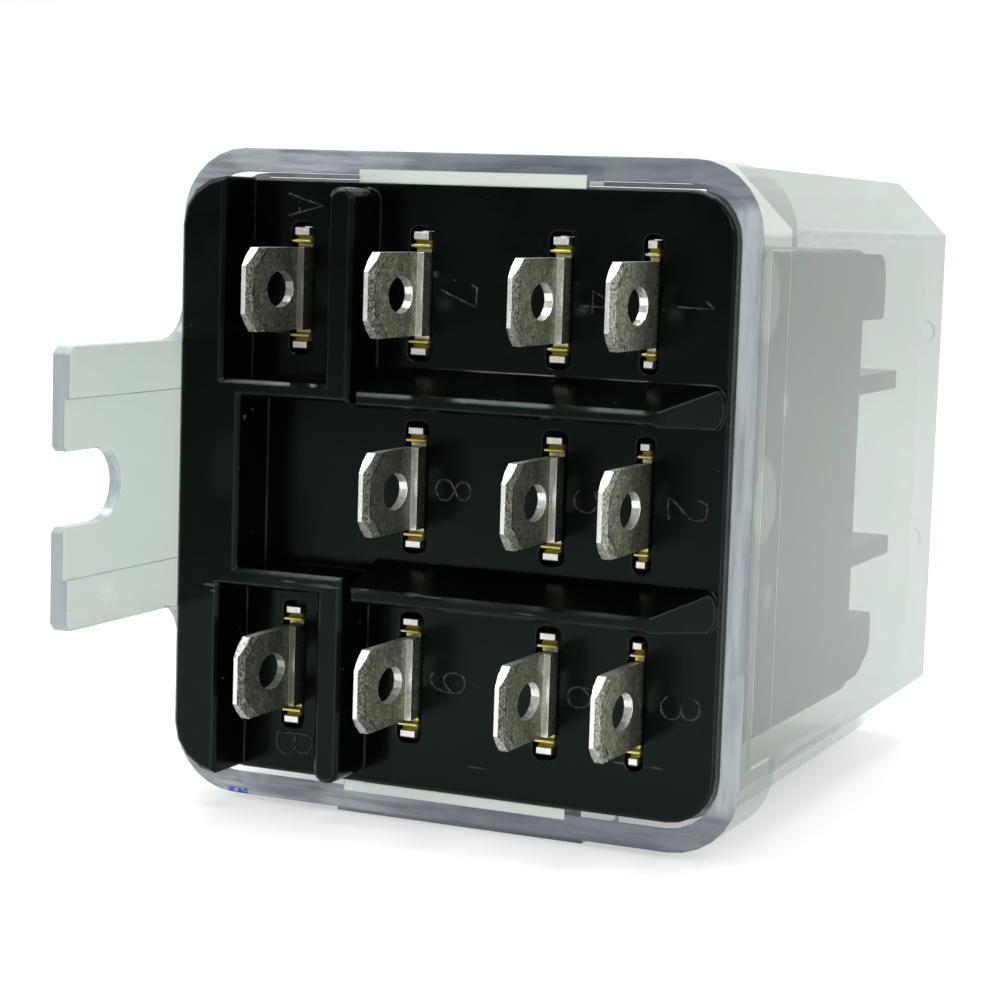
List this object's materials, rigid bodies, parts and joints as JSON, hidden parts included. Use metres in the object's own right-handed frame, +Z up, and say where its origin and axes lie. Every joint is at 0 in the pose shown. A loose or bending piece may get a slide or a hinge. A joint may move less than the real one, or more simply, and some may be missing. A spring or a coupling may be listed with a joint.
{
  "type": "plug-in relay",
  "caption": "Plug-in power relay: quick-connect blades on a black moulded base, a clear push-fit cover with a slotted mounting ear, and a coil-driven contact set inside.",
  "frame": {"origin": "bottom centre of the whole part's box: under the cover's lower side, midway between the ear's tip and the cover's far end", "axes": "+X across the relay from the ear's side to the normally closed blades, -Y the way the blades point, +Z up"},
  "size_m": [0.0358, 0.0562, 0.0386],
  "materials": {
    "black_phenolic": "glossy moulded",
    "clear_plastic": "clear, polished",
    "nickel_plate": "dull nickel plate over brass",
    "zinc_steel": "zinc plated",
    "spring_steel": "bright wire",
    "spring_brass": "rolled",
    "silver_contact": "polished",
    "enamelled_copper": "enamelled winding wire",
    "copper_braid": "bare braid",
    "lead_sleeve": "matt sleeve",
    "coil_tape": "film tape",
    "bobbin_nylon": "natural nylon",
    "brown_phenolic": "laminate"
  },
  "bodies": {
    "relay_body": {"base": "black_phenolic", "cover": "clear_plastic", "contact_block": "black_phenolic", "terminal_1": "nickel_plate", "terminal_2": "nickel_plate", "terminal_3": "nickel_plate", "terminal_4": "nickel_plate", "terminal_5": "nickel_plate", "terminal_6": "nickel_plate", "terminal_7": "nickel_plate", "terminal_8": "nickel_plate", "terminal_9": "nickel_plate", "terminal_A": "nickel_plate", "terminal_B": "nickel_plate", "yoke": "zinc_steel", "core": "zinc_steel", "yoke_screw_1": "zinc_steel", "yoke_screw_2": "zinc_steel", "coil_bobbin": "bobbin_nylon", "coil_winding": "enamelled_copper", "coil_tape": "coil_tape", "coil_lead_A": "lead_sleeve", "coil_lead_B": "lead_sleeve", "return_spring": "spring_steel", "pigtail_1": "copper_braid", "pigtail_2": "copper_braid", "pigtail_3": "copper_braid", "closed_contact_1": "silver_contact", "closed_contact_2": "silver_contact", "closed_contact_3": "silver_contact", "open_contact_1": "silver_contact", "open_contact_2": "silver_contact", "open_contact_3": "silver_contact"},
    "armature_set": {"armature": "zinc_steel", "contact_carrier": "brown_phenolic", "carrier_rivet_1": "spring_brass", "carrier_rivet_2": "spring_brass", "movable_arm_1": "spring_brass", "movable_arm_2": "spring_brass", "movable_arm_3": "spring_brass", "movable_contact_1": "silver_contact", "movable_contact_2": "silver_contact", "movable_contact_3": "silver_contact"}
  },
  "joints": [
    {"name": "armature_rock", "type": "hinge", "parent": "relay_body", "child": "armature_set", "pos_m": [-0.01245, 0.0177, 0.0195], "axis": [0, 0, -1], "range_deg": [0, 3], "stiffness_Nm_per_rad": 0.02, "springref_deg": -5.73, "deforming": ["return_spring", "pigtail_1", "pigtail_2", "pigtail_3"]}
  ]
}
